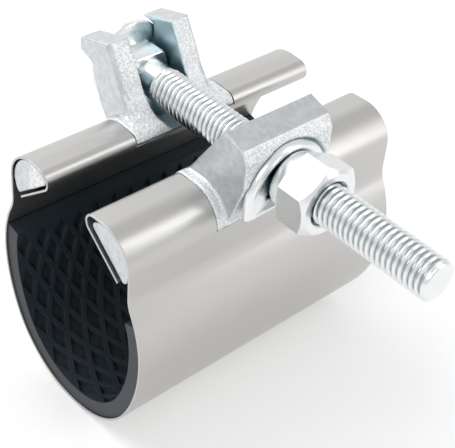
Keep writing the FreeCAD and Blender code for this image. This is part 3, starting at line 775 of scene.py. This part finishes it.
def tine_flare(side):
    """Concave foot that carries the front of a tine down to the front edge of the root."""
    inner, outer = [], []
    for step in range(FLARE_STEPS + 1):
        t = step / FLARE_STEPS
        place = FLARE_START * (1 - t) ** 2 + FLARE_TURN * (2 * t * (1 - t)) + FLARE_END * t ** 2
        reach = TINE_OUTER - SUNK - EDGE_STRIP * (1 - t) ** 3 + (ROOT_FLARE - SHORT_OF_FLARE) * t ** 2
        inner.append((place.x, side * TINE_INNER, place.y))
        outer.append((place.x, side * reach, place.y))
    for x, z in FLARE_INSIDE:
        inner.append((x, side * TINE_INNER, z))
        outer.append((x, side * (TINE_OUTER - EDGE_STRIP), z))
    flare = Shape()
    flare.grid([inner, outer])
    flare.cap(inner)
    flare.cap(outer)
    return flare


print("curve of a foot in", FLARE_STEPS, "steps")

# %% Strip on the fork and seat on the front lug
STRIP_FOOT, STRIP_RISE = 41.5, 4.0
SEAT_SEARCH, SEAT_X = 25.2, 25.5
SEAT_HALF_WIDTH, BORE_EDGE, SEAT_GAP = 12.6, 5.7, 0.35


def fork_face(x, y, z):
    """Takes a strip off the outer front edge of each tine."""
    width = EDGE_STRIP * min(1.0, max(0.0, (z - STRIP_FOOT) / STRIP_RISE))
    over = (x - face_at(FORK_FRONT, z)) + (abs(y) - TINE_OUTER) + width
    if z > STRIP_FOOT and over > 0:
        return (x - over / 2, y - math.copysign(over / 2, y), z)
    return (x, y, z)


def nut_face(x, y, z):
    """Gives the washer's seat the washer's own outline."""
    front = face_at(NUT_FRONT, z)
    distance = math.hypot(y, z - AXIS_HEIGHT)
    if x < SEAT_SEARCH or abs(y) > SEAT_HALF_WIDTH or distance < BORE_EDGE or front < SADDLE_BACK:
        return (x, y, z)
    if distance < saddle_radius(math.atan2(z - AXIS_HEIGHT, y)) + SEAT_GAP:
        return (min(x, SEAT_X), y, z)
    return (front, y, z)


print("gap round the washer", SEAT_GAP, "mm")

# %% [markdown]
# ## The castings
# A casting has no sharp edge. Sculpting by hand would give that, but not twice the same. Here each solid,
# with what is added to it, is filled with small cells of equal size, its faces are reshaped point by
# point, its edges and inner corners are smoothed round, and noise presses small pits into its skin.

# %% Skin of a casting
CELL = 0.00036
SMOOTH_ROUNDS = 5
COARSE_NOISE, FINE_NOISE = 260.0, 1100.0
COARSE_PIT, FINE_PIT = 0.00004, 0.00006
FACING_GAIN, FACING_START = 2.0, 0.6


def applied(piece):
    """Turns what the modifiers show into the piece's own mesh."""
    depsgraph = bpy.context.evaluated_depsgraph_get()
    mesh = bpy.data.meshes.new_from_object(piece.evaluated_get(depsgraph))
    piece.modifiers.clear()
    piece.data = mesh
    return mesh


def pit(mesh):
    """Pushes the skin in a little, and deeper where it faces along the bolt."""
    normals = [vertex.normal.copy() for vertex in mesh.vertices]
    for vertex, normal in zip(mesh.vertices, normals):
        coarse = noise.noise(vertex.co * COARSE_NOISE)
        fine = noise.noise(vertex.co * FINE_NOISE)
        pebbled = min(1.0, max(0.0, abs(normal.x) * FACING_GAIN - FACING_START))
        vertex.co -= normal * (COARSE_PIT * (1.0 + coarse) + FINE_PIT * pebbled * (1.0 + fine))


print("cells of", CELL * 1000, "mm")

# %% Cast lugs
def joined(node, added):
    """Mesh of a solid with the shapes that are added to it."""
    builder = bmesh.new()
    builder.from_mesh(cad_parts[node].data)
    for shape in added:
        points = [builder.verts.new([value * 0.001 for value in point]) for point in shape.points]
        for face in shape.faces:
            builder.faces.new([points[index] for index in face])
    bmesh.ops.recalc_face_normals(builder, faces=builder.faces)
    mesh = bpy.data.meshes.new(node + "_cast")
    builder.to_mesh(mesh)
    builder.free()
    return mesh


def cast_lug(node, shaped, added=()):
    """Solid and additions filled with small cells, reshaped, smoothed and pitted."""
    lug = bpy.data.objects.new(node + "_cast", joined(node, added))
    scene.collection.objects.link(lug)
    cells = lug.modifiers.new("cells", "REMESH")
    cells.mode = "VOXEL"
    cells.voxel_size = CELL
    mesh = applied(lug)
    for vertex in mesh.vertices:
        vertex.co = [value * 0.001 for value in shaped(*(vertex.co * 1000))]
    soften = lug.modifiers.new("soften", "SMOOTH")
    soften.factor = 0.5
    soften.iterations = SMOOTH_ROUNDS
    mesh = applied(lug)
    pit(mesh)
    mesh.shade_smooth()
    return settle(lug, node, "clamp", finishes["cast"])


cast_lug("fork_lug", fork_face, [tine_flare(-1), tine_flare(1)])
cast_lug("front_lug", nut_face)
